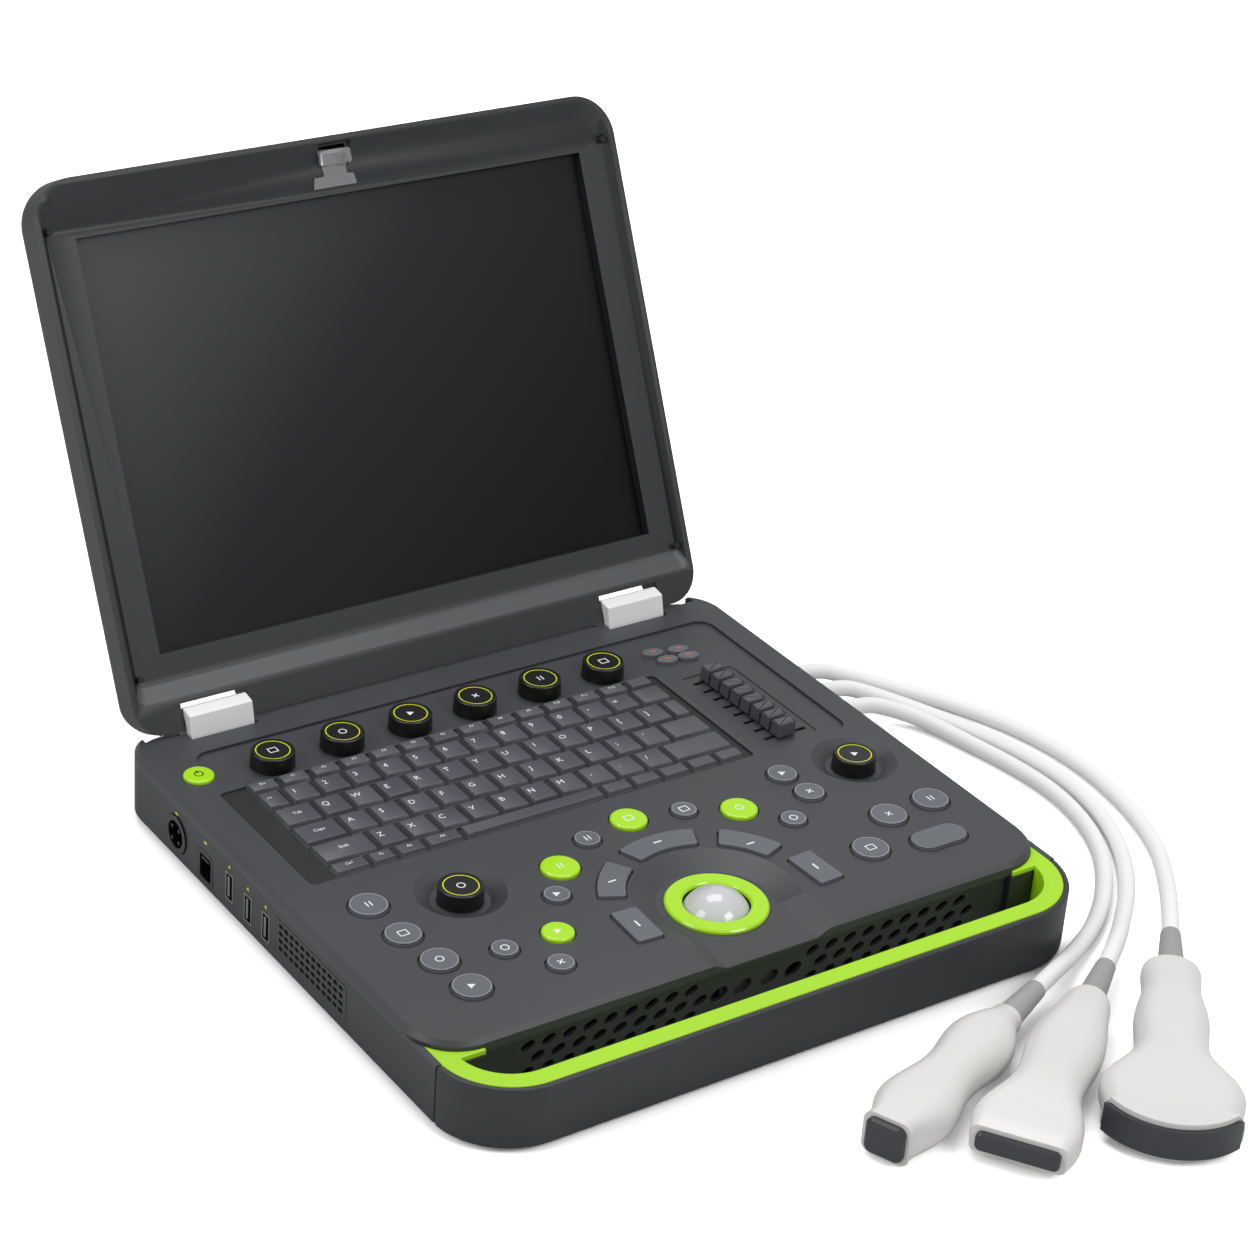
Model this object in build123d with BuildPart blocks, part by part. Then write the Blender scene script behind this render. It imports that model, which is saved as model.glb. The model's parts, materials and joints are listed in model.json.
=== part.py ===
from build123d import *
import math
import os

os.makedirs("parts", exist_ok=True)

# A portable ultrasound scanner in millimetres: +X to the right, +Y to the back, +Z up from the table.
# Everything is placed about the middle of the console's footprint, and the finished pieces are then
# stood in the part's frame, whose origin is under the middle of the console with its lid and probes.
frame_x, frame_y = -17.93, 13.42

# Console
console_width = 366
console_depth = 353
foot_height = 3
housing_height = 30
cover_height = 7
wall = 2.5
floor = 2.5
back_radius = 25
front_radius = 40
cover_radius = 27
handle_reach = 37
cover_overhang = 2
fit = 0.3

half_width = console_width / 2
back_y = console_depth / 2
front_y = -console_depth / 2
joint_y = front_y + handle_reach
cover_front_y = joint_y + cover_overhang
housing_top = foot_height + housing_height
panel_z = housing_top + cover_height
floor_z = foot_height + floor

# Top cover
plate = 3
crease = 2.2
ceiling_z = panel_z - plate
rim_width = 3
rim_height = 3
screw_radius = 1.5
screw_head_radius = 3
screw_head_height = 1.8
post_radius = 4.5
screw_spots = [(-170, 138), (170, 138), (-172, -75), (172, -75), (-90, 150), (90, 150)]

# Recessed control band, with the slider bank on its right
band_depth = 1.5
band_z = panel_z - band_depth
band_left, band_right = -158, 166
band_front, band_back = 105, 144
bank_left, bank_front = 107, 9
band_radius = 9

# Keyboard
key_pitch = 17.8
key_gap = 2.6
tray_left, tray_right = -163, 103
tray_front, tray_back = 9, 104
tray_depth = 2
tray_plate = 1
key_top = panel_z + 1.6
key_left = -146

# Dished trackball surround
ball_x, ball_y = 7, -91
ball_radius = 19
dish_radius = 43
dish_floor_radius = 30
dish_depth = 5.5
dish_z = panel_z - dish_depth
ring_radius = 26
ring_thickness = 2
ring_bore = 17
ball_show = 6.6
ball_z = dish_z + ring_thickness + ball_show - ball_radius

# Knobs
knob_radius = 11.8
knob_height = 8.5
knob_lift = 0.4
knob_taper = 3
knob_edge = 0.8
knob_dish = 0.3
shaft_radius = 3
shaft_play = 0.05
collar_radius = 5
collar_height = 1.2
top_knob_y = 119
top_knob_x = [-124, -83, -42, -2, 39, 80]
bowl_radius = 23
bowl_floor_radius = 15
bowl_depth = 4.9
left_bowl = (-102, -29)
right_bowl = (147, -19)

# Push buttons: place and radius
button_rise = 1.7
button_gap = 0.8
button_pocket = 1.5
round_buttons = [
    (-148, -19.5, 10), (-146, -48.5, 9.5), (-142, -75, 9.7), (-140, -100.5, 10),
    (128, -72.5, 10), (157, -70.5, 10), (100, -93.5, 10),
    (-110, -81.5, 7.1), (-63, -54.5, 7.1), (-93, -104, 7.1), (-22, -19.5, 7.1), (37, -19.5, 7.1),
    (82, -52.5, 7.1), (103, -14.5, 8.3), (105, -35.5, 8.3),
]
pill_x, pill_y, pill_length, pill_width = 138, -101, 33, 17
lime_spots = [(-48, -34.5, 10), (7, -13.5, 9.7), (63, -31.5, 9.7), (-80, -81.5, 8.2)]
power_x, power_y, power_radius = -164, 123.5, 8
power_travel = 1.2
oval_keys = [(117, 124.5), (132, 121.5), (120, 114.5), (133, 113)]
oval_length, oval_width = 12.5, 7.5
arc_key_inner, arc_key_outer = 45, 59
arc_key_corner = 1.6

# Gain slider bank
slider_count = 8
slider_pitch = 9.3
slider_x = 131
slider_first_y = 22.5
slider_length, slider_width = 12, 8.3
slider_top = panel_z + 6.5
slider_stem = 1.8
slot_play = 0.3
slot_left, slot_right = 118, 147
bank_plate_depth = 0.5

# Carry handle
handle_top = housing_top + rim_height
handle_bottom = foot_height
handle_thickness = 13
liner_thickness = 2.8
liner_band = 2
liner_bottom = foot_height + 5

# Lid, described in its own plane: x across, y up the lid, z out of the screen
lid_tilt = 25.9
lid_half_width = 176.5
lid_bottom, lid_top = -41.5, 248
lid_top_radius = 24
lid_bottom_radius = 18
rim_plane = 4
seam_plane = 2
lid_back = -20
lid_wall = 3
screen_width, screen_height = 307.5, 217
screen_depth = 6
display_border = 4
display_thickness = 8
lid_rim = 3.5
chin_top = -23.5
slope_width = 8.5
side_slope = 3.5
lid_foot = -7
lid_round = 9

# Hinge
axis_y, axis_z = 169, panel_z + 3.5
axis_up, axis_out = -37.65, 1
hinge_x = 130.5
hinge_width = 37
notch_play = 1
notch_top = -27
pin_radius = 1.5
pin_reach = 12
pin_play = 0.05
trough_front = 164
trough_z = panel_z - 6
pocket_z = panel_z - 3
wedge_front = 158

# Sockets in the left side: place along the side, height, and sizes
dc_y, dc_z, dc_radius, dc_pin_pitch = 110.7, 18.5, 10.5, 7
net_y, net_z, net_width, net_height = 80, 15.5, 15.8, 18.5
usb_spots = [(55, 18.8), (36, 17), (18, 17)]
usb_width, usb_height = 8, 16
socket_depth = 12
vent_y, vent_z, vent_length, vent_height = -26, 20, 68, 19
vent_rows, vent_columns = 4, 12

# Probe sockets in the right side
probe_socket_y = [104, 82, 60]
probe_socket_z = 14.5
probe_socket_radius = 8.5
plug_length = 13
plug_boot = 7
plug_radius = 7.6
cable_radius = 4.5

# Probes lying in front of the console: middle of the face, and heading of the cable end
probe_z = 12.6
relief_length = 31
phased_face, phased_heading, phased_length = (-15, -257.5), 22.7, 119
linear_face, linear_heading, linear_length = (33, -293.5), 34.5, 132
convex_face, convex_heading, convex_length = (109, -313.5), 47.8, 128
convex_radius, convex_half = 41, 33


def outline(half_x, y_low, y_high, radius_low, radius_high):
    """Rectangle about the Y axis with one radius for its low corners and one for its high corners."""
    with BuildSketch() as shape:
        with Locations((0, (y_low + y_high) / 2)):
            Rectangle(2 * half_x, y_high - y_low)
        if radius_low > 0:
            fillet(shape.vertices().group_by(Axis.Y)[0], radius_low)
        if radius_high > 0:
            fillet(shape.vertices().group_by(Axis.Y)[-1], radius_high)
    return shape.sketch


def write(piece, name):
    """Stand a finished piece in the part's frame, label it and write its file."""
    placed = piece.part.moved(Location((frame_x, frame_y, 0)))
    placed.label = name
    export_step(placed, f"parts/{name}.step")


# Lower housing: an open tray with posts, socket openings, a side vent and two front windows
front_recess = 6
vent_panel_thickness = 2.4
front_half = 155
window_half = 60
window_mid = 80
housing_front = joint_y + front_recess
with BuildPart() as lower_housing:
    with BuildSketch(Plane.XY.offset(foot_height)):
        add(outline(half_width, joint_y, back_y, 0, back_radius))
    extrude(amount=housing_height)
    chamfer(lower_housing.faces().sort_by(Axis.Z)[0].edges(), 1.5)
    with BuildSketch(Plane.XY.offset(floor_z)):
        add(outline(half_width - wall, housing_front + wall, back_y - wall, 0, back_radius - wall))
    extrude(amount=housing_height, mode=Mode.SUBTRACT)
    with BuildSketch(Plane.XY.offset(foot_height)):
        with Locations((0, joint_y)):
            Rectangle(2 * front_half, 2 * front_recess)
    extrude(amount=housing_height, mode=Mode.SUBTRACT)
    with BuildSketch(Plane.XY.offset(floor_z)):
        with Locations(*screw_spots):
            Circle(post_radius)
    extrude(amount=housing_top - floor_z)
    with BuildSketch(Plane.XY.offset(floor_z)):
        with Locations((ball_x, ball_y)):
            Circle(ball_radius * 0.6)
    extrude(amount=4)
    with Locations((ball_x, ball_y, ball_z)):
        Sphere(ball_radius + fit, mode=Mode.SUBTRACT)
    with BuildSketch(Plane.XY.offset(foot_height)):
        with Locations(*screw_spots):
            Circle(screw_head_radius + 0.05)
    extrude(amount=screw_head_height, mode=Mode.SUBTRACT)
    with BuildSketch(Plane.XY.offset(foot_height)):
        with Locations(*screw_spots):
            Circle(screw_radius + 0.05)
    extrude(amount=housing_height, mode=Mode.SUBTRACT)
    with BuildSketch(Plane.XZ.offset(-housing_front)):
        with Locations((-window_mid, (floor_z + housing_top) / 2), (window_mid, (floor_z + housing_top) / 2)):
            Rectangle(2 * window_half, housing_height - 10)
    extrude(amount=-wall, mode=Mode.SUBTRACT)
    with BuildSketch(Plane.YZ.offset(-half_width)):
        with Locations((dc_y, dc_z)):
            Circle(dc_radius)
        with Locations((net_y, net_z)):
            RectangleRounded(net_width, net_height, 3)
        with Locations(*usb_spots):
            Rectangle(usb_width, usb_height)
        with Locations((vent_y, vent_z)):
            Rectangle(vent_length, vent_height)
    extrude(amount=wall, mode=Mode.SUBTRACT)
    with BuildSketch(Plane.YZ.offset(half_width)):
        with Locations(*[(y, probe_socket_z) for y in probe_socket_y]):
            Circle(probe_socket_radius)
    extrude(amount=-wall, mode=Mode.SUBTRACT)
write(lower_housing, "lower_housing")

# Rubber feet under the housing
foot_radius = 9
foot_inset = 30
foot_x = half_width - foot_inset
foot_spots = [(-foot_x, back_y - foot_inset), (foot_x, back_y - foot_inset),
              (-foot_x, joint_y + foot_inset), (foot_x, joint_y + foot_inset)]
with BuildPart() as rubber_feet:
    with BuildSketch():
        with Locations(*foot_spots):
            Circle(foot_radius)
    extrude(amount=foot_height)
    chamfer(rubber_feet.faces().group_by(Axis.Z)[0].edges(), 0.6)
write(rubber_feet, "rubber_feet")

# Long screws that hold the housing to the top cover
screw_top = ceiling_z - 1
with BuildPart() as housing_screws:
    with BuildSketch(Plane.XY.offset(foot_height)):
        with Locations(*screw_spots):
            Circle(screw_head_radius)
    extrude(amount=screw_head_height)
    with BuildSketch(Plane.XY.offset(foot_height + screw_head_height)):
        with Locations(*screw_spots):
            Circle(screw_radius)
    extrude(amount=screw_top - foot_height - screw_head_height)
write(housing_screws, "housing_screws")


def loft_cut(low, low_z, high, high_z):
    """Dish cut with a floor sketch and a wider mouth sketch."""
    with BuildPart(mode=Mode.PRIVATE) as dish:
        with BuildSketch(Plane.XY.offset(low_z)):
            add(low)
        with BuildSketch(Plane.XY.offset(high_z)):
            add(high)
        loft(ruled=True)
    return dish.part


def dish_shape(radius, half_mouth):
    """Round bay that runs out to the front edge of the cover."""
    with BuildSketch() as shape:
        with Locations((ball_x, ball_y)):
            Circle(radius)
        with Locations((ball_x, (ball_y + cover_front_y) / 2 - 5)):
            Rectangle(2 * half_mouth, ball_y - cover_front_y + 10)
    return shape.sketch


def band_shape():
    """Control band with the slider bank as its right leg."""
    with BuildSketch() as shape:
        with Locations(((band_left + band_right) / 2, (band_front + band_back) / 2)):
            Rectangle(band_right - band_left, band_back - band_front)
        with Locations(((bank_left + band_right) / 2, (bank_front + band_back) / 2)):
            Rectangle(band_right - bank_left, band_back - bank_front)
        fillet(shape.vertices(), band_radius)
    return shape.sketch


def arc_key(start, size, inner, outer):
    """Key between two arcs about the trackball."""
    with BuildSketch() as shape:
        with BuildLine():
            centre = (ball_x, ball_y)
            inside = CenterArc(centre, inner, start, size)
            outside = CenterArc(centre, outer, start, size)
            Line(inside @ 0, outside @ 0)
            Line(inside @ 1, outside @ 1)
        make_face()
        fillet(shape.vertices(), arc_key_corner)
    return shape.sketch


def side_key(x, y, width, length, turn):
    """Slanted key beside the mouth of the trackball bay."""
    with BuildSketch() as shape:
        with Locations(Location((x, y), turn)):
            RectangleRounded(width, length, arc_key_corner)
    return shape.sketch


arc_keys = [
    arc_key(123, 32, arc_key_inner, arc_key_outer),
    arc_key(67, 44, arc_key_inner, arc_key_outer),
    arc_key(21, 33, arc_key_inner, arc_key_outer),
    side_key(ball_x + 57.5, ball_y - 3.5, 14.5, 26.5, 3),
    side_key(ball_x - 50, ball_y - 3.5, 14.5, 26.5, -3),
]

# Top cover: one moulded plate with a skirt, recesses, dished bays and a hinge trough
island_margin = 3
with BuildPart() as control_panel:
    with BuildSketch(Plane.XY.offset(housing_top)):
        add(outline(half_width, cover_front_y, back_y, cover_radius, back_radius))
    extrude(amount=cover_height)
    chamfer(control_panel.faces().sort_by(Axis.Z)[-1].edges(), crease)
    with BuildSketch(Plane.XY.offset(housing_top)):
        with Locations((-half_width + rim_width / 2, (joint_y + cover_front_y) / 2 + cover_radius / 2),
                       (half_width - rim_width / 2, (joint_y + cover_front_y) / 2 + cover_radius / 2)):
            Rectangle(rim_width, cover_radius + cover_overhang)
    extrude(amount=rim_height)
    with BuildSketch(Plane.XY.offset(housing_top)):
        add(outline(half_width - wall, cover_front_y + wall, trough_front - 14, cover_radius - wall, 0))
        add(dish_shape(dish_radius + island_margin, dish_radius), mode=Mode.SUBTRACT)
        with Locations(left_bowl, right_bowl):
            Circle(bowl_radius + island_margin, mode=Mode.SUBTRACT)
        with Locations(*screw_spots):
            Circle(post_radius, mode=Mode.SUBTRACT)
    extrude(amount=cover_height - plate, mode=Mode.SUBTRACT)
    with BuildSketch(Plane.XY.offset(trough_z)):
        with Locations((0, (trough_front + back_y) / 2 + 5)):
            Rectangle(2 * lid_half_width - 8, back_y - trough_front + 10)
    extrude(amount=cover_height, mode=Mode.SUBTRACT)
    with BuildSketch(Plane.XY.offset(pocket_z)):
        with Locations((-hinge_x, trough_front), (hinge_x, trough_front)):
            Rectangle(hinge_width + 2, 2 * (trough_front - wedge_front) + 1)
    extrude(amount=plate, mode=Mode.SUBTRACT)
    with BuildSketch(Plane.XY.offset(band_z)):
        add(band_shape())
    extrude(amount=plate, mode=Mode.SUBTRACT)
    with BuildSketch(Plane.XY.offset(panel_z - tray_depth)):
        with Locations(((tray_left + tray_right) / 2, (tray_front + tray_back) / 2)):
            RectangleRounded(tray_right - tray_left, tray_back - tray_front, 3)
    extrude(amount=plate, mode=Mode.SUBTRACT)
    with BuildSketch(Plane.XY.offset(band_z - bank_plate_depth)):
        with Locations(((slot_left + slot_right) / 2, slider_first_y + (slider_count - 1) * slider_pitch / 2)):
            RectangleRounded(slot_right - slot_left + 5, slider_count * slider_pitch + 6, 3)
    extrude(amount=plate, mode=Mode.SUBTRACT)
    add(loft_cut(dish_shape(dish_floor_radius, dish_floor_radius - 3), dish_z,
                 dish_shape(dish_radius, dish_radius - 4), panel_z + 0.01), mode=Mode.SUBTRACT)
    for bowl_x, bowl_y in (left_bowl, right_bowl):
        with Locations(Location((bowl_x, bowl_y, panel_z + 0.01 - (bowl_depth + 0.01) / 2))):
            Cone(bowl_floor_radius, bowl_radius, bowl_depth + 0.01, mode=Mode.SUBTRACT)
    with BuildSketch(Plane.XY.offset(panel_z - button_pocket)):
        for x, y, radius in round_buttons + lime_spots:
            with Locations((x, y)):
                Circle(radius + button_gap)
        with Locations((pill_x, pill_y)):
            SlotOverall(pill_length + 2 * button_gap, pill_width + 2 * button_gap)
        for key in arc_keys:
            add(offset(key, amount=button_gap, kind=Kind.ARC, mode=Mode.PRIVATE))
    extrude(amount=plate, mode=Mode.SUBTRACT)
    with BuildSketch(Plane.XY.offset(housing_top)):
        with Locations(*[(x, top_knob_y) for x in top_knob_x], left_bowl, right_bowl):
            Circle(shaft_radius + shaft_play)
        with Locations((power_x, power_y)):
            Circle(power_radius + fit)
        with Locations((ball_x, ball_y)):
            Circle(ball_radius + fit + 0.2)
        with Locations(*[((slot_left + slot_right) / 2, slider_first_y + i * slider_pitch)
                         for i in range(slider_count)]):
            Rectangle(slot_right - slot_left - 2, slider_stem + 2 * slot_play)
    extrude(amount=cover_height, mode=Mode.SUBTRACT)
    with BuildSketch(Plane.XY.offset(housing_top)):
        with Locations(left_bowl, right_bowl):
            Circle(collar_radius + fit)
    extrude(amount=collar_height + fit, mode=Mode.SUBTRACT)
    with BuildSketch(Plane.XY.offset(housing_top)):
        with Locations(*screw_spots):
            Circle(screw_radius)
    extrude(amount=screw_top - housing_top, mode=Mode.SUBTRACT)
write(control_panel, "control_panel")


# Keyboard: a thin tray of its own with rows of tapered keys, widths given in key pitches
key_rows = [
    (99.7, 8.6, [1] * 13 + [0.9]),
    (85.4, 14.4, [0.8] + [1] * 12 + [1.1]),
    (67.5, 16, [1.25] + [1] * 12 + [0.65]),
    (48.7, 16, [1.45] + [1] * 11 + [1.45]),
    (29.9, 16, [1.8] + [1] * 10 + [2.1]),
    (15.3, 8.6, [1.2, 0.85, 0.95, 1.2, 4.75, 1, 1, 1, 1, 0.95]),
]
with BuildPart() as keyboard:
    with BuildSketch(Plane.XY.offset(panel_z - tray_depth)):
        with Locations(((tray_left + tray_right) / 2, (tray_front + tray_back) / 2)):
            RectangleRounded(tray_right - tray_left - 2 * fit, tray_back - tray_front - 2 * fit, 3 - fit)
    extrude(amount=tray_plate)
    with BuildSketch(Plane.XY.offset(panel_z - tray_depth + tray_plate)):
        for row_y, row_depth, widths in key_rows:
            edge_x = key_left - key_pitch / 6
            for width in widths:
                with Locations((edge_x + width * key_pitch / 2, row_y)):
                    Rectangle(width * key_pitch - key_gap, row_depth)
                edge_x += width * key_pitch
    extrude(amount=key_top - panel_z + tray_depth - tray_plate, taper=14)
write(keyboard, "keyboard")


# Grey panel buttons, lime buttons and the four small oval keys
with BuildPart() as panel_buttons:
    with BuildSketch(Plane.XY.offset(panel_z - button_pocket)):
        for x, y, radius in round_buttons:
            with Locations((x, y)):
                Circle(radius)
        with Locations((pill_x, pill_y)):
            SlotOverall(pill_length, pill_width)
    extrude(amount=button_pocket + button_rise)
    chamfer(panel_buttons.faces().group_by(Axis.Z)[-1].edges(), 0.6)
    with BuildSketch(Plane.XY.offset(panel_z - button_pocket)):
        for key in arc_keys:
            add(key)
    extrude(amount=button_pocket + button_rise)
write(panel_buttons, "panel_buttons")

with BuildPart() as lime_buttons:
    with BuildSketch(Plane.XY.offset(panel_z - button_pocket)):
        for x, y, radius in lime_spots:
            with Locations((x, y)):
                Circle(radius)
    extrude(amount=button_pocket + button_rise)
    fillet(lime_buttons.faces().group_by(Axis.Z)[-1].edges(), 1.2)
write(lime_buttons, "lime_buttons")

with BuildPart() as oval_key_set:
    with BuildSketch(Plane.XY.offset(band_z)):
        with Locations(*[Location(spot, -12) for spot in oval_keys]):
            Ellipse(oval_length / 2, oval_width / 2)
    extrude(amount=band_depth + 1)
    chamfer(oval_key_set.faces().group_by(Axis.Z)[-1].edges(), 0.5)
write(oval_key_set, "oval_keys")

# Power button: cap through the cover, held from below by a wider foot
with BuildPart() as power_button:
    with BuildSketch(Plane.XY.offset(ceiling_z - power_travel)):
        with Locations((power_x, power_y)):
            Circle(power_radius)
    extrude(amount=plate + power_travel + button_rise)
    fillet(power_button.faces().sort_by(Axis.Z)[-1].edges(), 1.2)
    with BuildSketch(Plane.XY.offset(ceiling_z - power_travel)):
        with Locations((power_x, power_y)):
            Circle(power_radius + 1.2)
    extrude(amount=power_travel - fit)
write(power_button, "power_button")

# Trackball with the ring that keeps it in its seat
with BuildPart() as trackball_ring:
    with BuildSketch(Plane.XY.offset(dish_z)):
        with Locations((ball_x, ball_y)):
            Circle(ring_radius)
            Circle(ring_bore, mode=Mode.SUBTRACT)
    extrude(amount=ring_thickness)
    chamfer(trackball_ring.faces().sort_by(Axis.Z)[-1].edges(), 0.8)
write(trackball_ring, "trackball_ring")

with BuildPart() as trackball:
    with Locations((ball_x, ball_y, ball_z)):
        Sphere(ball_radius)
write(trackball, "trackball")


# Encoder knobs: tapered cap with a shallow dish, shaft through the cover and a collar below it
knob_spots = [(x, top_knob_y, band_z) for x in top_knob_x]
knob_spots += [(*left_bowl, panel_z - bowl_depth), (*right_bowl, panel_z - bowl_depth)]
for number, (x, y, seat_z) in enumerate(knob_spots, 1):
    plate_low = ceiling_z if seat_z > ceiling_z else housing_top + collar_height + fit
    with BuildPart() as knob:
        with BuildSketch(Plane.XY.offset(seat_z + knob_lift)):
            with Locations((x, y)):
                Circle(knob_radius)
        extrude(amount=knob_height, taper=knob_taper)
        fillet(knob.faces().sort_by(Axis.Z)[-1].edges(), knob_edge)
        with BuildSketch(Plane.XY.offset(seat_z + knob_lift + knob_height - knob_dish)):
            with Locations((x, y)):
                Circle(knob_radius - 2.4)
        extrude(amount=2 * knob_dish, mode=Mode.SUBTRACT)
        with BuildSketch(Plane.XY.offset(plate_low - fit - collar_height)):
            with Locations((x, y)):
                Circle(collar_radius)
        extrude(amount=collar_height)
        with BuildSketch(Plane.XY.offset(plate_low - fit)):
            with Locations((x, y)):
                Circle(shaft_radius)
        extrude(amount=seat_z + knob_lift - plate_low + fit)
    write(knob, f"knob_{number}")

# Gain sliders: cap, stem through its slot and a guide foot below the cover
for number in range(slider_count):
    slider_y = slider_first_y + number * slider_pitch
    with BuildPart() as slider:
        with BuildSketch(Plane.XY.offset(band_z + 0.4)):
            with Locations((slider_x, slider_y)):
                RectangleRounded(slider_length, slider_width, 1)
        extrude(amount=slider_top - band_z - 0.4, taper=6)
        with BuildSketch(Plane.XY.offset(ceiling_z - fit - 1.5)):
            with Locations((slider_x, slider_y)):
                Rectangle(slider_stem * 2.4, slider_stem)
        extrude(amount=band_z + 0.4 - ceiling_z + fit + 1.5)
        with BuildSketch(Plane.XY.offset(ceiling_z - fit - 1.5)):
            with Locations((slider_x, slider_y)):
                Rectangle(slider_length, slider_pitch - 2)
        extrude(amount=1.5)
    write(slider, f"gain_slider_{number + 1}")


def handle_shape(inset):
    """Front end of the footprint, drawn in by an inset and cut off at the joint with the housing."""
    with BuildSketch() as shape:
        add(outline(half_width - inset, front_y + inset, 0, front_radius - inset, 0))
        with Locations((0, joint_y / 2)):
            Rectangle(console_width, -joint_y, mode=Mode.SUBTRACT)
    return shape.sketch


# Carry handle: a U with an outer lip, and a lime liner along its inside and over its top
liner_inset = rim_width
grip_inset = handle_thickness - liner_thickness
with BuildPart() as carry_handle:
    with BuildSketch(Plane.XY.offset(handle_bottom)):
        add(handle_shape(0))
    extrude(amount=handle_top - handle_bottom)
    chamfer(carry_handle.faces().sort_by(Axis.Z)[0].edges().filter_by(GeomType.LINE), 1)
    with BuildSketch(Plane.XY.offset(handle_bottom)):
        add(handle_shape(grip_inset))
    extrude(amount=handle_top, mode=Mode.SUBTRACT)
    with BuildSketch(Plane.XY.offset(handle_top - liner_band)):
        add(handle_shape(liner_inset))
    extrude(amount=liner_band, mode=Mode.SUBTRACT)
write(carry_handle, "carry_handle")

with BuildPart() as handle_liner:
    with BuildSketch(Plane.XY.offset(handle_top - liner_band)):
        add(handle_shape(liner_inset))
    extrude(amount=liner_band)
    with BuildSketch(Plane.XY.offset(liner_bottom)):
        add(handle_shape(grip_inset))
    extrude(amount=handle_top - liner_bottom)
    with BuildSketch(Plane.XY.offset(liner_bottom)):
        add(handle_shape(handle_thickness))
    extrude(amount=handle_top, mode=Mode.SUBTRACT)
    with BuildSketch(Plane.XY.offset(housing_top)):
        with Locations((0, (joint_y + cover_front_y + cover_radius) / 2)):
            Rectangle(2 * (half_width - rim_width), cover_front_y + cover_radius - joint_y)
        add(outline(half_width, cover_front_y, back_y, cover_radius, back_radius), mode=Mode.SUBTRACT)
        with Locations((0, joint_y)):
            Rectangle(2 * (half_width - cover_radius), 2 * handle_reach, mode=Mode.SUBTRACT)
    extrude(amount=rim_height)
write(handle_liner, "handle_liner")


# Sockets in the left side
with BuildPart() as dc_power_socket:
    with BuildSketch(Plane.YZ.offset(-half_width - 0.8)):
        with Locations((dc_y, dc_z)):
            Circle(dc_radius)
    extrude(amount=socket_depth + 0.8)
    with BuildSketch(Plane.YZ.offset(-half_width - 0.8)):
        with Locations((dc_y, dc_z)):
            Circle(dc_radius - 3)
            with GridLocations(dc_pin_pitch, dc_pin_pitch, 2, 2):
                Circle(1, mode=Mode.SUBTRACT)
    extrude(amount=socket_depth - 2, mode=Mode.SUBTRACT)
write(dc_power_socket, "dc_power_socket")

with BuildPart() as network_socket:
    with BuildSketch(Plane.YZ.offset(-half_width)):
        with Locations((net_y, net_z)):
            RectangleRounded(net_width, net_height, 3)
    extrude(amount=socket_depth)
    with BuildSketch(Plane.YZ.offset(-half_width)):
        with Locations((net_y, net_z)):
            RectangleRounded(net_width - 4.5, net_height - 5, 1.5)
            with Locations((0, net_height / 2 - 4.5)):
                Rectangle(net_width - 8, 1.2, mode=Mode.SUBTRACT)
    extrude(amount=socket_depth - 2, mode=Mode.SUBTRACT)
write(network_socket, "network_socket")

with BuildPart() as usb_sockets:
    with BuildSketch(Plane.YZ.offset(-half_width)):
        with Locations(*usb_spots):
            Rectangle(usb_width, usb_height)
    extrude(amount=socket_depth)
    with BuildSketch(Plane.YZ.offset(-half_width)):
        with Locations(*usb_spots):
            Rectangle(usb_width - 2, usb_height - 2)
            with Locations((0.6, 0)):
                Rectangle(2, usb_height - 4.5, mode=Mode.SUBTRACT)
    extrude(amount=socket_depth - 2, mode=Mode.SUBTRACT)
write(usb_sockets, "usb_sockets")

# Probe sockets in the right side
with BuildPart() as probe_sockets:
    with BuildSketch(Plane.YZ.offset(half_width - socket_depth)):
        with Locations(*[(y, probe_socket_z) for y in probe_socket_y]):
            Circle(probe_socket_radius)
    extrude(amount=socket_depth + 0.8)
    with BuildSketch(Plane.YZ.offset(half_width + 0.8)):
        with Locations(*[(y, probe_socket_z) for y in probe_socket_y]):
            Circle(probe_socket_radius - 3)
    extrude(amount=-socket_depth + 2, mode=Mode.SUBTRACT)
write(probe_sockets, "probe_sockets")

# Side vent grille
with BuildPart() as side_vent_grille:
    with BuildSketch(Plane.YZ.offset(-half_width)):
        with Locations((vent_y, vent_z)):
            Rectangle(vent_length, vent_height)
            with GridLocations(vent_length / (vent_columns + 1), vent_height / (vent_rows + 0.5),
                               vent_columns, vent_rows):
                SlotOverall(4, 2.3, mode=Mode.SUBTRACT)
    extrude(amount=wall)
write(side_vent_grille, "side_vent_grille")

# Front vent panel: two clusters of slanted oval holes with larger ones between them
vent_panel_bottom = foot_height + 2
cluster_columns, cluster_rows = 9, 3
cluster_pitch_x, cluster_pitch_z = 11.5, 7.6
cluster_mid = 82
large_holes = [-22, -8, 8, 22]
with BuildPart() as front_vent_panel:
    with BuildSketch(Plane.XZ.offset(-housing_front)):
        with Locations((0, (vent_panel_bottom + housing_top) / 2)):
            Rectangle(2 * (front_half - fit), housing_top - vent_panel_bottom)
        for side in (-1, 1):
            for row in range(cluster_rows):
                shift = cluster_pitch_x / 2 * (row % 2) - cluster_pitch_x / 4
                for column in range(cluster_columns):
                    hole_x = side * cluster_mid + (column - (cluster_columns - 1) / 2) * cluster_pitch_x + shift
                    hole_z = (vent_panel_bottom + housing_top) / 2 + (row - 1) * cluster_pitch_z
                    with Locations(Location((hole_x, hole_z), 25)):
                        Ellipse(3.9, 2.3, mode=Mode.SUBTRACT)
        for hole_x in large_holes:
            with Locations(Location((hole_x, (vent_panel_bottom + housing_top) / 2), 25)):
                Ellipse(5.2, 3.4, mode=Mode.SUBTRACT)
    extrude(amount=vent_panel_thickness)
write(front_vent_panel, "front_vent_panel")

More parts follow.
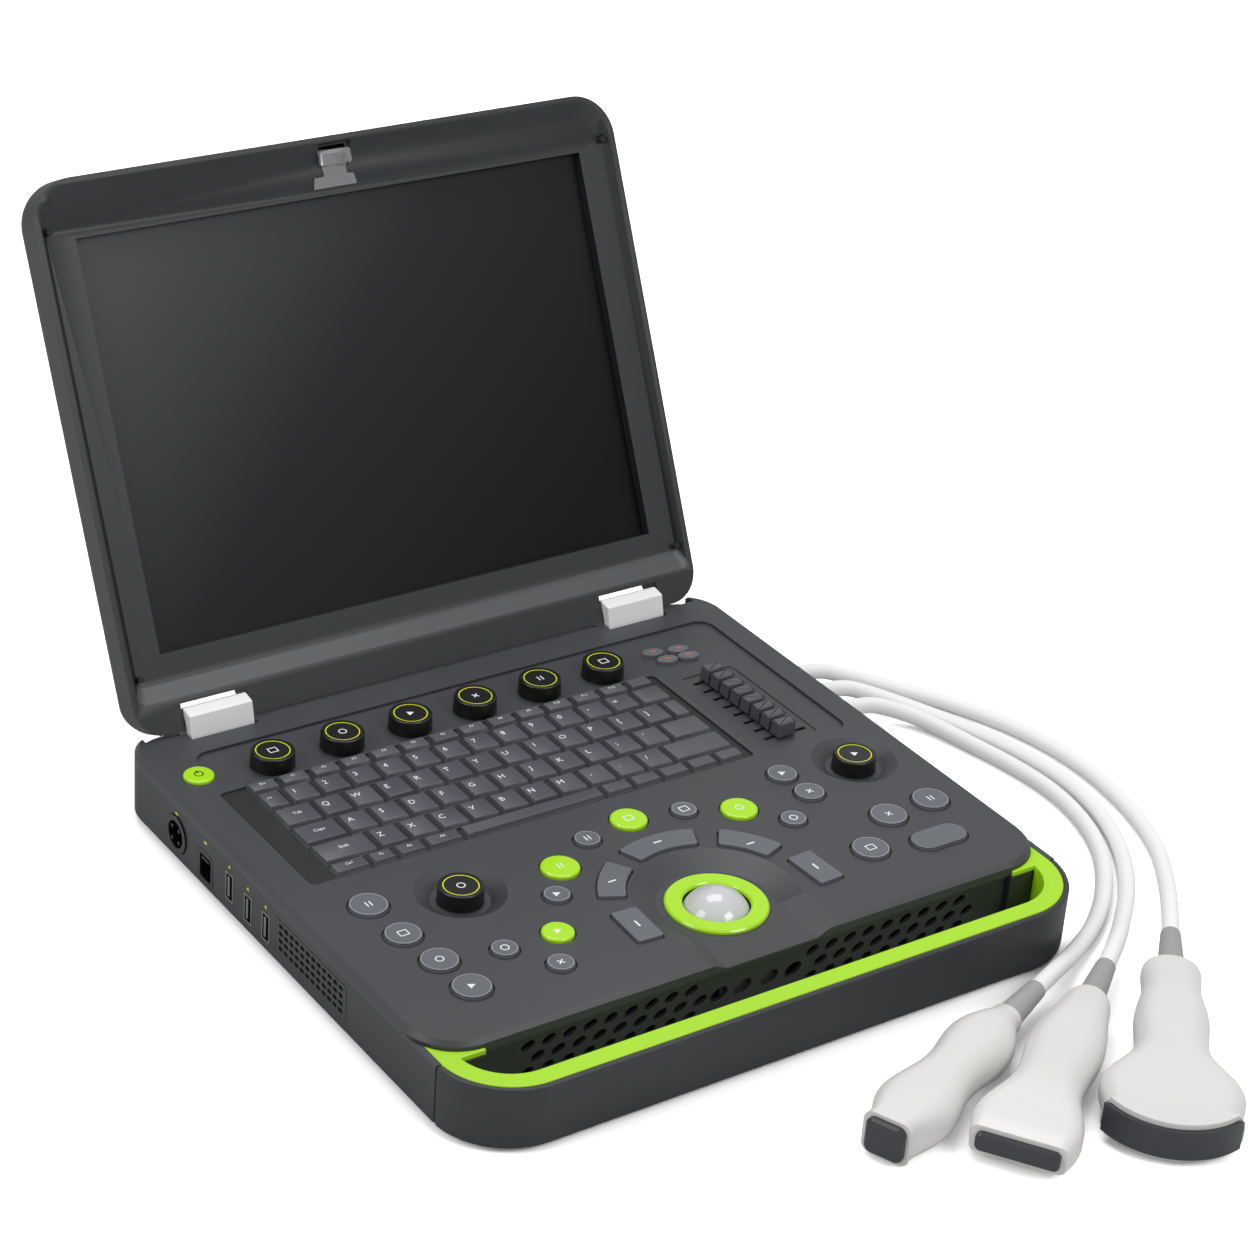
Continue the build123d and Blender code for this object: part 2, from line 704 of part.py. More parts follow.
# Main board on four standoffs, battery pack and cooling fan inside the housing
board_left, board_right, board_front, board_back = -160, 155, -8, 142
board_z = floor_z + 4
with BuildPart() as main_board:
    with BuildSketch(Plane.XY.offset(board_z)):
        with Locations(((board_left + board_right) / 2, (board_front + board_back) / 2)):
            Rectangle(board_right - board_left, board_back - board_front)
    extrude(amount=1.6)
    with BuildSketch(Plane.XY.offset(floor_z)):
        with Locations(((board_left + board_right) / 2, (board_front + board_back) / 2)):
            with GridLocations(board_right - board_left - 16, board_back - board_front - 16, 2, 2):
                Circle(3)
    extrude(amount=board_z - floor_z)
    with BuildSketch(Plane.XY.offset(board_z + 1.6)):
        with Locations((-60, 60), (40, 60)):
            Rectangle(34, 34)
        with Locations((110, 85), (110, 40)):
            Rectangle(26, 18)
    extrude(amount=3)
write(main_board, "main_board")

with BuildPart() as battery_pack:
    with BuildSketch(Plane.XY.offset(floor_z)):
        with Locations((-98, -68)):
            RectangleRounded(118, 96, 6)
    extrude(amount=20)
write(battery_pack, "battery_pack")

fan_x, fan_y, fan_size, fan_height = 95, -75, 60, 18
with BuildPart() as cooling_fan:
    with BuildSketch(Plane.XY.offset(floor_z)):
        with Locations((fan_x, fan_y)):
            RectangleRounded(fan_size, fan_size, 6)
    extrude(amount=fan_height)
    with BuildSketch(Plane.XY.offset(floor_z + 2)):
        with Locations((fan_x, fan_y)):
            Circle(fan_size / 2 - 3)
            Circle(11, mode=Mode.SUBTRACT)
            with PolarLocations(fan_size / 4 + 3, 9):
                Rectangle(fan_size / 2 - 8, 1.2, rotation=25, mode=Mode.SUBTRACT)
    extrude(amount=fan_height, mode=Mode.SUBTRACT)
write(cooling_fan, "cooling_fan")

# The lid's own plane, leaning back by its tilt and hung from the hinge axis
lean = math.radians(lid_tilt)
lid_up = Vector(0, math.sin(lean), math.cos(lean))
lid_out = Vector(0, -math.cos(lean), math.sin(lean))
lid_origin = Vector(0, axis_y, axis_z) - lid_up * axis_up - lid_out * axis_out
lid_plane = Plane(origin=lid_origin, x_dir=(1, 0, 0), z_dir=lid_out)
lid_side = Plane(origin=lid_origin, x_dir=lid_up, z_dir=(1, 0, 0))

# Lid back cover: shell with a thin foot, hinge notches, pin bosses and posts for the display
cavity_bottom, upper_cavity = -20, -8
foot_end = -10
boss_top = axis_out + pin_radius + 0.6
boss_length = pin_reach + 2
boss_high, boss_low = axis_up + 4, lid_bottom + 0.5
notch_half = hinge_width / 2 + notch_play
boss_x = [side * (hinge_x + offset_x) for side in (-1, 1)
          for offset_x in (-notch_half - boss_length / 2, notch_half + boss_length / 2)]
post_spots = [(x, t) for x in (-screen_width / 2 + 20, screen_width / 2 - 20) for t in (20, screen_height - 20)]
with BuildPart() as lid_back_cover:
    with BuildSketch(lid_plane.offset(lid_back)):
        add(outline(lid_half_width, lid_bottom, lid_top, lid_bottom_radius, lid_top_radius))
    extrude(amount=seam_plane - lid_back)
    fillet(lid_back_cover.faces().sort_by(Axis((0, 0, 0), tuple(lid_out)))[0].edges(), lid_round)
    with BuildSketch(lid_side):
        with BuildLine():
            Polyline((lid_bottom, lid_foot), (foot_end, lid_back), (foot_end, lid_back - 20),
                     (lid_bottom - 20, lid_back - 20), (lid_bottom - 20, lid_foot), close=True)
        make_face()
    extrude(amount=lid_half_width + 1, both=True, mode=Mode.SUBTRACT)
    with BuildSketch(lid_plane.offset(lid_back + lid_wall)):
        add(outline(lid_half_width - lid_wall, upper_cavity, lid_top - lid_wall, 3, lid_top_radius - lid_wall))
    extrude(amount=-lid_back, mode=Mode.SUBTRACT)
    with BuildSketch(lid_plane.offset(lid_foot)):
        add(outline(lid_half_width - lid_wall, cavity_bottom, upper_cavity + 10, 3, 0))
    extrude(amount=-lid_back, mode=Mode.SUBTRACT)
    with BuildSketch(lid_plane.offset(lid_back + lid_wall)):
        with Locations(*post_spots):
            Circle(5)
    extrude(amount=-screen_depth - display_thickness - lid_back - lid_wall)
    with BuildSketch(lid_plane.offset(seam_plane)):
        with Locations(*[(x, (boss_low + boss_high) / 2) for x in boss_x]):
            Rectangle(boss_length, boss_high - boss_low)
    extrude(amount=boss_top - seam_plane)
    with BuildSketch(lid_plane.offset(lid_back - 1)):
        with Locations((-hinge_x, (lid_bottom - 5 + notch_top) / 2), (hinge_x, (lid_bottom - 5 + notch_top) / 2)):
            Rectangle(2 * notch_half, notch_top - lid_bottom + 5)
    extrude(amount=30, mode=Mode.SUBTRACT)
    for side in (-1, 1):
        with BuildSketch(Plane.YZ.offset(side * hinge_x)):
            with Locations((axis_y, axis_z)):
                Circle(pin_radius + pin_play)
        extrude(amount=hinge_width / 2 + pin_reach + 0.5, both=True, mode=Mode.SUBTRACT)
write(lid_back_cover, "lid_back_cover")

# Lid bezel: front frame with a raised rim, a chin with its slope, and the screen opening
flange_back = -2
ledge = 2.3
latch_x, latch_slot_width, latch_slot_low, latch_slot_high = 1, 16, 231, 243
latch_recess_y, latch_recess_width, latch_recess_length = 238, 20, 13
bumper_radius = 1.6
bumper_spots = [(-168.5, 222), (168.5, 222), (-168.5, -10), (168.5, -10)]
with BuildPart() as lid_bezel:
    with BuildSketch(lid_plane.offset(seam_plane)):
        add(outline(lid_half_width, lid_bottom, lid_top, lid_bottom_radius, lid_top_radius))
    extrude(amount=rim_plane - seam_plane)
    with BuildSketch(lid_plane.offset(flange_back)):
        add(outline(lid_half_width - lid_wall - fit, cavity_bottom + fit, lid_top - lid_wall - fit,
                    3, lid_top_radius - lid_wall - fit))
    extrude(amount=seam_plane - flange_back)
    with BuildSketch(lid_plane.offset(-screen_depth)):
        with Locations((0, screen_height / 2)):
            Rectangle(screen_width + 2 * ledge, screen_height + 2 * ledge)
    extrude(amount=screen_depth + flange_back)
    with BuildSketch(lid_plane):
        add(outline(lid_half_width - lid_rim - side_slope, chin_top + slope_width,
                    lid_top - lid_rim - slope_width, 3, lid_top_radius - lid_rim))
    with BuildSketch(lid_plane.offset(rim_plane)):
        add(outline(lid_half_width - lid_rim, chin_top, lid_top - lid_rim, 5, lid_top_radius - lid_rim))
    loft(ruled=True, mode=Mode.SUBTRACT)
    with BuildSketch(lid_plane.offset(-screen_depth)):
        with Locations((0, screen_height / 2)):
            Rectangle(screen_width, screen_height)
    extrude(amount=screen_depth + rim_plane, mode=Mode.SUBTRACT)
    with BuildSketch(lid_plane.offset(seam_plane)):
        with Locations(*[(x, (boss_low + boss_high) / 2) for x in boss_x]):
            Rectangle(boss_length + 0.4, boss_high - boss_low + 0.4)
    extrude(amount=boss_top - seam_plane + 0.1, mode=Mode.SUBTRACT)
    with BuildSketch(lid_plane.offset(flange_back)):
        with Locations((-hinge_x, (lid_bottom - 5 + notch_top) / 2), (hinge_x, (lid_bottom - 5 + notch_top) / 2)):
            Rectangle(2 * notch_half, notch_top - lid_bottom + 5)
        with Locations((latch_x, (latch_slot_low + latch_slot_high) / 2)):
            Rectangle(latch_slot_width, latch_slot_high - latch_slot_low)
    extrude(amount=10, mode=Mode.SUBTRACT)
    with BuildSketch(lid_plane):
        with Locations(*bumper_spots):
            Circle(bumper_radius)
        with Locations((latch_x, latch_recess_y)):
            Rectangle(latch_recess_width, latch_recess_length)
    extrude(amount=rim_plane, mode=Mode.SUBTRACT)
write(lid_bezel, "lid_bezel")

# Display panel behind the opening
with BuildPart() as display_panel:
    with BuildSketch(lid_plane.offset(-screen_depth - display_thickness)):
        with Locations((0, screen_height / 2)):
            Rectangle(screen_width + 2 * display_border, screen_height + 2 * display_border)
    extrude(amount=display_thickness)
write(display_panel, "display_panel")

# Bumper pads at the lid's corners
with BuildPart() as lid_bumpers:
    with BuildSketch(lid_plane):
        with Locations(*bumper_spots):
            Circle(bumper_radius)
    extrude(amount=rim_plane)
write(lid_bumpers, "lid_bumpers")

# Clear sliding latch: hourglass face, stem through the bezel's slot and a keeper plate behind it
with BuildPart() as lid_latch:
    with BuildSketch(lid_plane.offset(0.1)):
        with Locations((latch_x, 236.5)):
            Rectangle(18, 8)
        with Locations((latch_x - 1, 230)):
            Rectangle(14, 8)
        with Locations((latch_x - 2, 224)):
            Trapezoid(26, 6, 77)
    extrude(amount=0.6)
    with BuildSketch(lid_plane.offset(0.7)):
        with Locations((latch_x, 236.5)):
            RectangleRounded(18, 8, 1.5)
    extrude(amount=2.7)
    with BuildSketch(lid_plane.offset(flange_back - fit - 1.5)):
        with Locations((latch_x, 235)):
            Rectangle(latch_slot_width - 2, 7.4)
    extrude(amount=-flange_back + fit + 1.6)
    with BuildSketch(lid_plane.offset(flange_back - fit - 1.5)):
        with Locations((latch_x, 235.5)):
            Rectangle(latch_slot_width + 8, 11)
    extrude(amount=1.5)
write(lid_latch, "lid_latch")


# Hinge covers: flat fronted fairings over the hinge pins, seated in the trough and its front pocket
fairing_front, fairing_back = wedge_front + 1, axis_y + 6.5
brow_y, brow_z = axis_y - 6.4, axis_z + 7.2
crown_y, crown_z = axis_y + 2, axis_z + 8.6
nape_y, nape_z = axis_y + 8, axis_z + 1
with BuildPart() as hinge_covers:
    for side in (-1, 1):
        with BuildSketch(Plane.YZ.offset(side * hinge_x)):
            Polygon((fairing_front, pocket_z), (trough_front, pocket_z), (trough_front, trough_z),
                    (fairing_back, trough_z), (nape_y, nape_z), (crown_y, crown_z), (brow_y, brow_z), align=None)
            with Locations((axis_y, axis_z)):
                Circle(pin_radius, mode=Mode.SUBTRACT)
        extrude(amount=hinge_width / 2, both=True)
    fillet(hinge_covers.edges().filter_by(Axis.X).group_by(Axis.Z)[-1], 3)
write(hinge_covers, "hinge_covers")

with BuildPart() as hinge_pins:
    for side in (-1, 1):
        with BuildSketch(Plane.YZ.offset(side * hinge_x)):
            with Locations((axis_y, axis_z)):
                Circle(pin_radius)
        extrude(amount=hinge_width / 2 + pin_reach, both=True)
write(hinge_pins, "hinge_pins")


def probe_frame(face, heading):
    """Plane across a probe at its face: x across, y up, z towards the cable."""
    turn = math.radians(heading)
    return Plane(origin=(*face, probe_z), x_dir=(-math.sin(turn), math.cos(turn), 0),
                 z_dir=(math.cos(turn), math.sin(turn), 0))


def sections(frame, rows):
    """Rounded sections along a probe, each given by its distance, width, thickness and corner."""
    faces = []
    for distance, width, thickness, corner in rows:
        with BuildSketch(frame.offset(distance)) as section:
            RectangleRounded(width, thickness, corner)
        faces.append(section.sketch.face())
    return faces


# Phased array probe
phased_frame = probe_frame(phased_face, phased_heading)
with BuildPart() as phased_probe_shell:
    loft(sections(phased_frame, [(0, 25, 23, 5), (9, 27, 24, 7), (26, 38, 25, 11), (44, 33, 25, 11.5),
                            (72, 30, 25, 11.5), (102, 27, 23, 10.5), (phased_length, 16, 16, 7.5)]))
write(phased_probe_shell, "phased_probe_shell")

with BuildPart() as phased_probe_lens:
    with BuildSketch(phased_frame):
        RectangleRounded(20, 19, 4)
    extrude(amount=-3)
    chamfer(phased_probe_lens.faces().sort_by(Axis((0, 0, 0), tuple(phased_frame.z_dir)))[0].edges(), 1)
write(phased_probe_lens, "phased_probe_lens")

# Linear array probe
linear_frame = probe_frame(linear_face, linear_heading)
with BuildPart() as linear_probe_shell:
    loft(sections(linear_frame, [(0, 46, 15, 4), (7, 49.5, 18, 6), (24, 49, 21, 8), (42, 37, 24, 10.5),
                            (64, 34, 25, 11.5), (100, 33, 24.5, 11.5), (118, 26, 21, 9.5),
                            (linear_length, 17, 16, 7.5)]))
write(linear_probe_shell, "linear_probe_shell")

with BuildPart() as linear_probe_lens:
    with BuildSketch(linear_frame):
        RectangleRounded(40, 10, 3)
    extrude(amount=-3)
    chamfer(linear_probe_lens.faces().sort_by(Axis((0, 0, 0), tuple(linear_frame.z_dir)))[0].edges(), 1)
write(linear_probe_lens, "linear_probe_lens")

# Convex array probe with its curved face
convex_frame = probe_frame(convex_face, convex_heading)
convex_flat = Plane(origin=convex_frame.origin, x_dir=convex_frame.z_dir, z_dir=(0, 0, 1))
arc_centre = (math.sqrt(convex_radius ** 2 - convex_half ** 2), 0)
lens_height, lens_skin, nose_height = 15.5, 2.5, 21


with BuildPart() as convex_probe_shell:
    loft(sections(convex_frame, [(0, 2 * convex_half, nose_height, 8), (14, 67, 22, 9), (28, 64, 23.5, 10.5),
                            (44, 43, 25, 11.5), (58, 35.5, 25, 11.5), (90, 34, 25, 11.5),
                            (108, 29, 23, 10.5), (convex_length, 18, 17, 8)]))
    with BuildSketch(convex_flat.offset(-nose_height / 2)):
        with Locations(arc_centre):
            Circle(convex_radius - lens_skin)
        with Locations((2 * convex_radius, 0)):
            Rectangle(4 * convex_radius, 3 * convex_radius, mode=Mode.SUBTRACT)
    extrude(amount=nose_height)
write(convex_probe_shell, "convex_probe_shell")

with BuildPart() as convex_probe_lens:
    with BuildSketch(convex_flat.offset(-lens_height / 2)):
        with Locations(arc_centre):
            Circle(convex_radius)
            Circle(convex_radius - lens_skin, mode=Mode.SUBTRACT)
        with Locations((2 * convex_radius - 1, 0)):
            Rectangle(4 * convex_radius, 3 * convex_radius, mode=Mode.SUBTRACT)
    extrude(amount=lens_height)
write(convex_probe_lens, "convex_probe_lens")

# Tapered strain reliefs behind the three probes
for name, frame, length in (("phased", phased_frame, phased_length), ("linear", linear_frame, linear_length),
                            ("convex", convex_frame, convex_length)):
    with BuildPart() as relief:
        with BuildSketch(frame.offset(length)):
            Circle(7)
        with BuildSketch(frame.offset(length + relief_length)):
            Circle(cable_radius + 0.7)
        loft(ruled=True)
    write(relief, f"{name}_strain_relief")

# Plugs in the probe sockets, each with a tapered boot
plug_face_x = half_width + 0.8
cable_start_x = plug_face_x + plug_length + plug_boot
for name, y in zip(("convex", "linear", "phased"), probe_socket_y):
    with BuildPart() as plug:
        with BuildSketch(Plane.YZ.offset(plug_face_x)):
            with Locations((y, probe_socket_z)):
                Circle(plug_radius)
                with PolarLocations(plug_radius + 0.4, 16):
                    Circle(0.8, mode=Mode.SUBTRACT)
        extrude(amount=plug_length)
        with BuildSketch(Plane.YZ.offset(plug_face_x)):
            with Locations((y, probe_socket_z)):
                Circle(probe_socket_radius - 3.1)
        extrude(amount=-socket_depth + 3)
        with BuildSketch(Plane.YZ.offset(plug_face_x + plug_length)):
            with Locations((y, probe_socket_z)):
                Circle(plug_radius - 1.4)
        with BuildSketch(Plane.YZ.offset(cable_start_x)):
            with Locations((y, probe_socket_z)):
                Circle(cable_radius + 0.5)
        loft(ruled=True)
    write(plug, f"{name}_probe_plug")


# Cables from the plugs to the strain reliefs: straight runs joined by tangent bends
low = cable_radius + 0.1
convex_route = [(cable_start_x, 104, 14.5), (217.5, 104, 14), (232, 98.5, 10), (251, 82, 5.8), (275, 49, low),
                (290, 12, low), (297, -29, low), (293, -73, low), (279, -117, low), (257.5, -149, 5.4)]
linear_route = [(cable_start_x, 82, 14.5), (218, 82, 14), (231.5, 76.5, 10), (247, 60, 5.8), (262, 30, low),
                (273, -5, low), (278, -41, low), (273, -78, low), (258, -113, low), (236, -143, low), (212.5, -165, 5.6)]
phased_route = [(cable_start_x, 60, 14.5), (219, 60, 14), (232.5, 54.5, 10.5), (247, 40.5, 6.2), (255.5, 9, low),
                (262, -22, low), (264, -54, low), (257.5, -86, low), (243, -115.5, low), (220.5, -142, low),
                (195, -163, low), (169, -177, 5.8)]


def bend_radii(points):
    """Largest easy bend at each inner point: the shorter run's 0.45 over the tangent of half the turn."""
    radii = []
    for before, here, after in zip(points, points[1:], points[2:]):
        first, second = Vector(*here) - Vector(*before), Vector(*after) - Vector(*here)
        half_turn = math.radians(first.get_angle(second) / 2)
        radii.append(0.45 * min(first.length, second.length) / math.tan(half_turn))
    return radii


for name, route, frame, length, last_run in (
        ("convex", convex_route, convex_frame, convex_length, 22),
        ("linear", linear_route, linear_frame, linear_length, 22),
        ("phased", phased_route, phased_frame, phased_length, 20)):
    cable_end = frame.origin + frame.z_dir * (length + relief_length)
    last_bend = cable_end + frame.z_dir * last_run
    points = [*route, tuple(last_bend), tuple(cable_end)]
    radii = bend_radii(points)
    with BuildPart() as cable:
        with BuildLine() as path:
            route_line = FilletPolyline(*points, radius=radii)
        with BuildSketch(Plane(origin=route_line @ 0, z_dir=route_line % 0)):
            Circle(cable_radius)
        sweep(path=path.wire())
    print(name, "cable length", round(route_line.length), "volume", round(cable.part.volume),
          "section times length", round(math.pi * cable_radius ** 2 * route_line.length),
          "radii", [round(value) for value in radii])
    write(cable, f"{name}_probe_cable")
print("built", len(os.listdir("parts")))
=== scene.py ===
import json
import math

import bmesh
import bpy
from mathutils import Matrix, Vector


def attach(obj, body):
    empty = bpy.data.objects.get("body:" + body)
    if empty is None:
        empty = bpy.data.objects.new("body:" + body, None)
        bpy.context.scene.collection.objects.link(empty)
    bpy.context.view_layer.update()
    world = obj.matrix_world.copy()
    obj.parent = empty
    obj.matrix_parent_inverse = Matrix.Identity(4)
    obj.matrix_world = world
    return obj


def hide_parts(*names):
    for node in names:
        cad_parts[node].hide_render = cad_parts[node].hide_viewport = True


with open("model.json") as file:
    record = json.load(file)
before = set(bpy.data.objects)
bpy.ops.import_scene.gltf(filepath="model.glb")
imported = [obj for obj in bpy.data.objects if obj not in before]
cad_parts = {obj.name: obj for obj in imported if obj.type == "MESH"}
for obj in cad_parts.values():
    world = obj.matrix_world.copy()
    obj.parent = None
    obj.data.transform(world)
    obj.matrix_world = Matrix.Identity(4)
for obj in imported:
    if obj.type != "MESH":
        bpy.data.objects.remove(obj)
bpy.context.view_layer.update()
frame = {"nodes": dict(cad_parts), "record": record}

# Places below are given in millimetres about the middle of the console's footprint.
FRAME_X, FRAME_Y = -17.93, 13.42
MM = 0.001


def at(x, y, z):
    """Point of the console, in millimetres, as a point of the part's frame in metres."""
    return Vector(((x + FRAME_X) * MM, (y + FRAME_Y) * MM, z * MM))


# Camera at the photograph's viewing angle
CAMERA_PLACE = at(-840.1, -1148.4, 921.0)
AZIMUTH, ELEVATION, ROLL = math.radians(-36.39), math.radians(28.54), math.radians(4.62)
SENSOR, FOCAL = 36.0, 94.7


def make_camera():
    back = Vector((math.sin(AZIMUTH) * math.cos(ELEVATION), -math.cos(AZIMUTH) * math.cos(ELEVATION),
                   math.sin(ELEVATION)))
    side = Vector((0, 0, 1)).cross(back).normalized()
    up = back.cross(side)
    right = side * math.cos(ROLL) + up * math.sin(ROLL)
    top = up * math.cos(ROLL) - side * math.sin(ROLL)
    lens = bpy.data.cameras.new("camera")
    lens.sensor_width = SENSOR
    lens.lens = FOCAL
    lens.clip_start, lens.clip_end = 0.05, 30
    camera = bpy.data.objects.new("camera", lens)
    bpy.context.scene.collection.objects.link(camera)
    turn = Matrix((right, top, back)).transposed().to_4x4()
    camera.matrix_world = Matrix.Translation(CAMERA_PLACE) @ turn
    bpy.context.scene.camera = camera


make_camera()
bpy.context.scene.view_settings.view_transform = "Standard"


# Cords: the three probe cables, from their plugs to the strain reliefs
CABLE_RADIUS = 4.5
LOW = CABLE_RADIUS + 0.1
PROBE_Z = 12.6
RELIEF_LENGTH = 31
START_X = 203.8
PROBES = {
    "convex": dict(face=(109, -313.5), heading=47.8, length=128, last_run=22, real_length=0.368,
                   route=[(START_X, 104, 14.5), (217.5, 104, 14), (232, 98.5, 10), (251, 82, 5.8), (275, 49, LOW),
                          (290, 12, LOW), (297, -29, LOW), (293, -73, LOW), (279, -117, LOW), (257.5, -149, 5.4)]),
    "linear": dict(face=(33, -293.5), heading=34.5, length=132, last_run=22, real_length=0.361,
                   route=[(START_X, 82, 14.5), (218, 82, 14), (231.5, 76.5, 10), (247, 60, 5.8), (262, 30, LOW),
                          (273, -5, LOW), (278, -41, LOW), (273, -78, LOW), (258, -113, LOW), (236, -143, LOW),
                          (212.5, -165, 5.6)]),
    "phased": dict(face=(-15, -257.5), heading=22.7, length=119, last_run=20, real_length=0.359,
                   route=[(START_X, 60, 14.5), (219, 60, 14), (232.5, 54.5, 10.5), (247, 40.5, 6.2),
                          (255.5, 9, LOW),
                          (262, -22, LOW), (264, -54, LOW), (257.5, -86, LOW), (243, -115.5, LOW),
                          (220.5, -142, LOW), (195, -163, LOW), (169, -177, 5.8)]),
}


def probe_axis(probe):
    turn = math.radians(probe["heading"])
    return Vector((math.cos(turn), math.sin(turn), 0))


def probe_point(probe, along, across=0.0, height=0.0):
    """Point of a probe: distance behind its face, distance to its left, height above its axis."""
    ahead = probe_axis(probe)
    left = Vector((-ahead.y, ahead.x, 0))
    flat = Vector((*probe["face"], 0)) + ahead * along + left * across
    return at(flat.x, flat.y, PROBE_Z + height)


def make_cable(name, probe):
    end = probe["length"] + RELIEF_LENGTH
    points = [at(*spot) for spot in probe["route"]]
    points += [probe_point(probe, end + probe["last_run"]), probe_point(probe, end)]
    curve = bpy.data.curves.new(name + "_cable_line", "CURVE")
    curve.dimensions = "3D"
    spline = curve.splines.new("NURBS")
    spline.points.add(len(points) - 1)
    for knot, spot in zip(spline.points, points):
        knot.co = (*spot, 1)
    spline.order_u = 3
    spline.use_endpoint_u = True
    curve.resolution_u = 10
    curve.bevel_depth = CABLE_RADIUS * MM
    curve.bevel_resolution = 6
    cable = bpy.data.objects.new(name + "_cable_line", curve)
    bpy.context.scene.collection.objects.link(cable)
    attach(cable, "root")
    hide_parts(name + "_probe_cable")
    return cable


cables = {name: make_cable(name, probe) for name, probe in PROBES.items()}


# Materials: each is a procedural finish, in the units of the part's frame
def tone(red, green, blue):
    """Colour as it looks on a screen, 0 to 255, as a linear colour."""
    def linear(value):
        share = value / 255
        return share / 12.92 if share <= 0.04045 else ((share + 0.055) / 1.055) ** 2.4
    return (linear(red), linear(green), linear(blue), 1.0)


def shade(colour, factor):
    return (*[min(1.0, part * factor) for part in colour[:3]], 1.0)


def finish(name, colour, roughness, grain=1500, relief=0.15, spread=0.08, cloud=14, **sockets):
    """Moulded surface: fine grain as bump and roughness, and a slow drift of its colour."""
    material = bpy.data.materials.new(name)
    material.use_nodes = True
    nodes, links = material.node_tree.nodes, material.node_tree.links
    shader = nodes["Principled BSDF"]
    place = nodes.new("ShaderNodeTexCoord")
    drift = nodes.new("ShaderNodeTexNoise")
    drift.inputs["Scale"].default_value = cloud
    drift.inputs["Detail"].default_value = 3
    blend = nodes.new("ShaderNodeValToRGB")
    blend.color_ramp.elements[0].position, blend.color_ramp.elements[1].position = 0.3, 0.7
    blend.color_ramp.elements[0].color = shade(colour, 1 - spread)
    blend.color_ramp.elements[1].color = shade(colour, 1 + spread)
    fine = nodes.new("ShaderNodeTexNoise")
    fine.inputs["Scale"].default_value = grain
    fine.inputs["Detail"].default_value = 2
    rough = nodes.new("ShaderNodeMapRange")
    rough.inputs["To Min"].default_value = max(0.02, roughness - 0.06)
    rough.inputs["To Max"].default_value = min(1.0, roughness + 0.06)
    bump = nodes.new("ShaderNodeBump")
    bump.inputs["Strength"].default_value = relief
    bump.inputs["Distance"].default_value = 0.0001
    links.new(place.outputs["Object"], drift.inputs["Vector"])
    links.new(place.outputs["Object"], fine.inputs["Vector"])
    links.new(drift.outputs["Fac"], blend.inputs["Fac"])
    links.new(blend.outputs["Color"], shader.inputs["Base Color"])
    links.new(fine.outputs["Fac"], rough.inputs["Value"])
    links.new(rough.outputs["Result"], shader.inputs["Roughness"])
    links.new(fine.outputs["Fac"], bump.inputs["Height"])
    links.new(bump.outputs["Normal"], shader.inputs["Normal"])
    for socket, value in sockets.items():
        shader.inputs[socket.replace("_", " ")].default_value = value
    return material


CHARCOAL = finish("charcoal_moulding", tone(42, 43, 46), 0.44)
LID_SHELL = finish("lid_moulding", tone(33, 34, 36), 0.42)
PANEL = finish("panel_moulding", tone(56, 57, 61), 0.46, relief=0.22)
KEY = finish("key_cap", tone(74, 76, 81), 0.42, relief=0.1)
BUTTON = finish("button_cap", tone(92, 95, 101), 0.38, relief=0.06)
TRAY = finish("key_tray", tone(16, 16, 17), 0.6)
BLACK = finish("black_moulding", tone(15, 15, 16), 0.33, relief=0.06)
LIME_GLOSS = finish("lime_gloss", tone(166, 220, 18), 0.22, relief=0.03, spread=0.04, Coat_Weight=0.3)
LIME_SATIN = finish("lime_satin", tone(160, 213, 24), 0.36, relief=0.08, spread=0.05)
BALL = finish("ball_resin", tone(196, 196, 198), 0.16, relief=0.0, spread=0.03, Coat_Weight=0.4)
WHITE = finish("hinge_white", tone(232, 232, 232), 0.3, relief=0.05, spread=0.03)
PROBE_WHITE = finish("probe_white", tone(212, 211, 209), 0.32, relief=0.05, spread=0.02)
RELIEF_GREY = finish("relief_rubber", tone(150, 150, 150), 0.55, relief=0.2)
CABLE_GREY = finish("cable_jacket", tone(190, 188, 187), 0.42, relief=0.08, spread=0.04)
LENS = finish("lens_rubber", tone(50, 52, 57), 0.35, relief=0.05)
RUBBER = finish("foot_rubber", tone(22, 22, 22), 0.75, relief=0.4)
METAL = finish("socket_metal", tone(140, 140, 138), 0.3, relief=0.1, Metallic=1.0)
STEEL = finish("pin_steel", tone(150, 150, 150), 0.25, relief=0.1, Metallic=1.0)
BOARD = finish("board_green", tone(20, 80, 45), 0.5)
RIM = finish("button_rim", tone(140, 143, 148), 0.35, relief=0.03)
# Painted highlight: a paler grey for the lid's chin, standing in for the band of light its slope catches.
CHIN_PAINTED_HIGHLIGHT = finish("chin_painted_highlight", tone(66, 67, 70), 0.4)
MARK = finish("white_print", tone(222, 224, 226), 0.5, relief=0.02, spread=0.03)
YELLOW = finish("yellow_print", tone(206, 214, 20), 0.4, relief=0.02, spread=0.04)
RED = finish("red_print", tone(214, 92, 70), 0.5, relief=0.02, spread=0.05)
BLUE = finish("blue_insert", tone(38, 84, 150), 0.4, relief=0.05)


def glass_like(name, colour, roughness, alpha):
    material = finish(name, colour, roughness, relief=0.02, spread=0.03, IOR=1.49)
    shader = material.node_tree.nodes["Principled BSDF"]
    shader.inputs["Transmission Weight"].default_value = alpha
    return material


CLEAR = glass_like("clear_latch", tone(226, 228, 230), 0.08, 0.85)


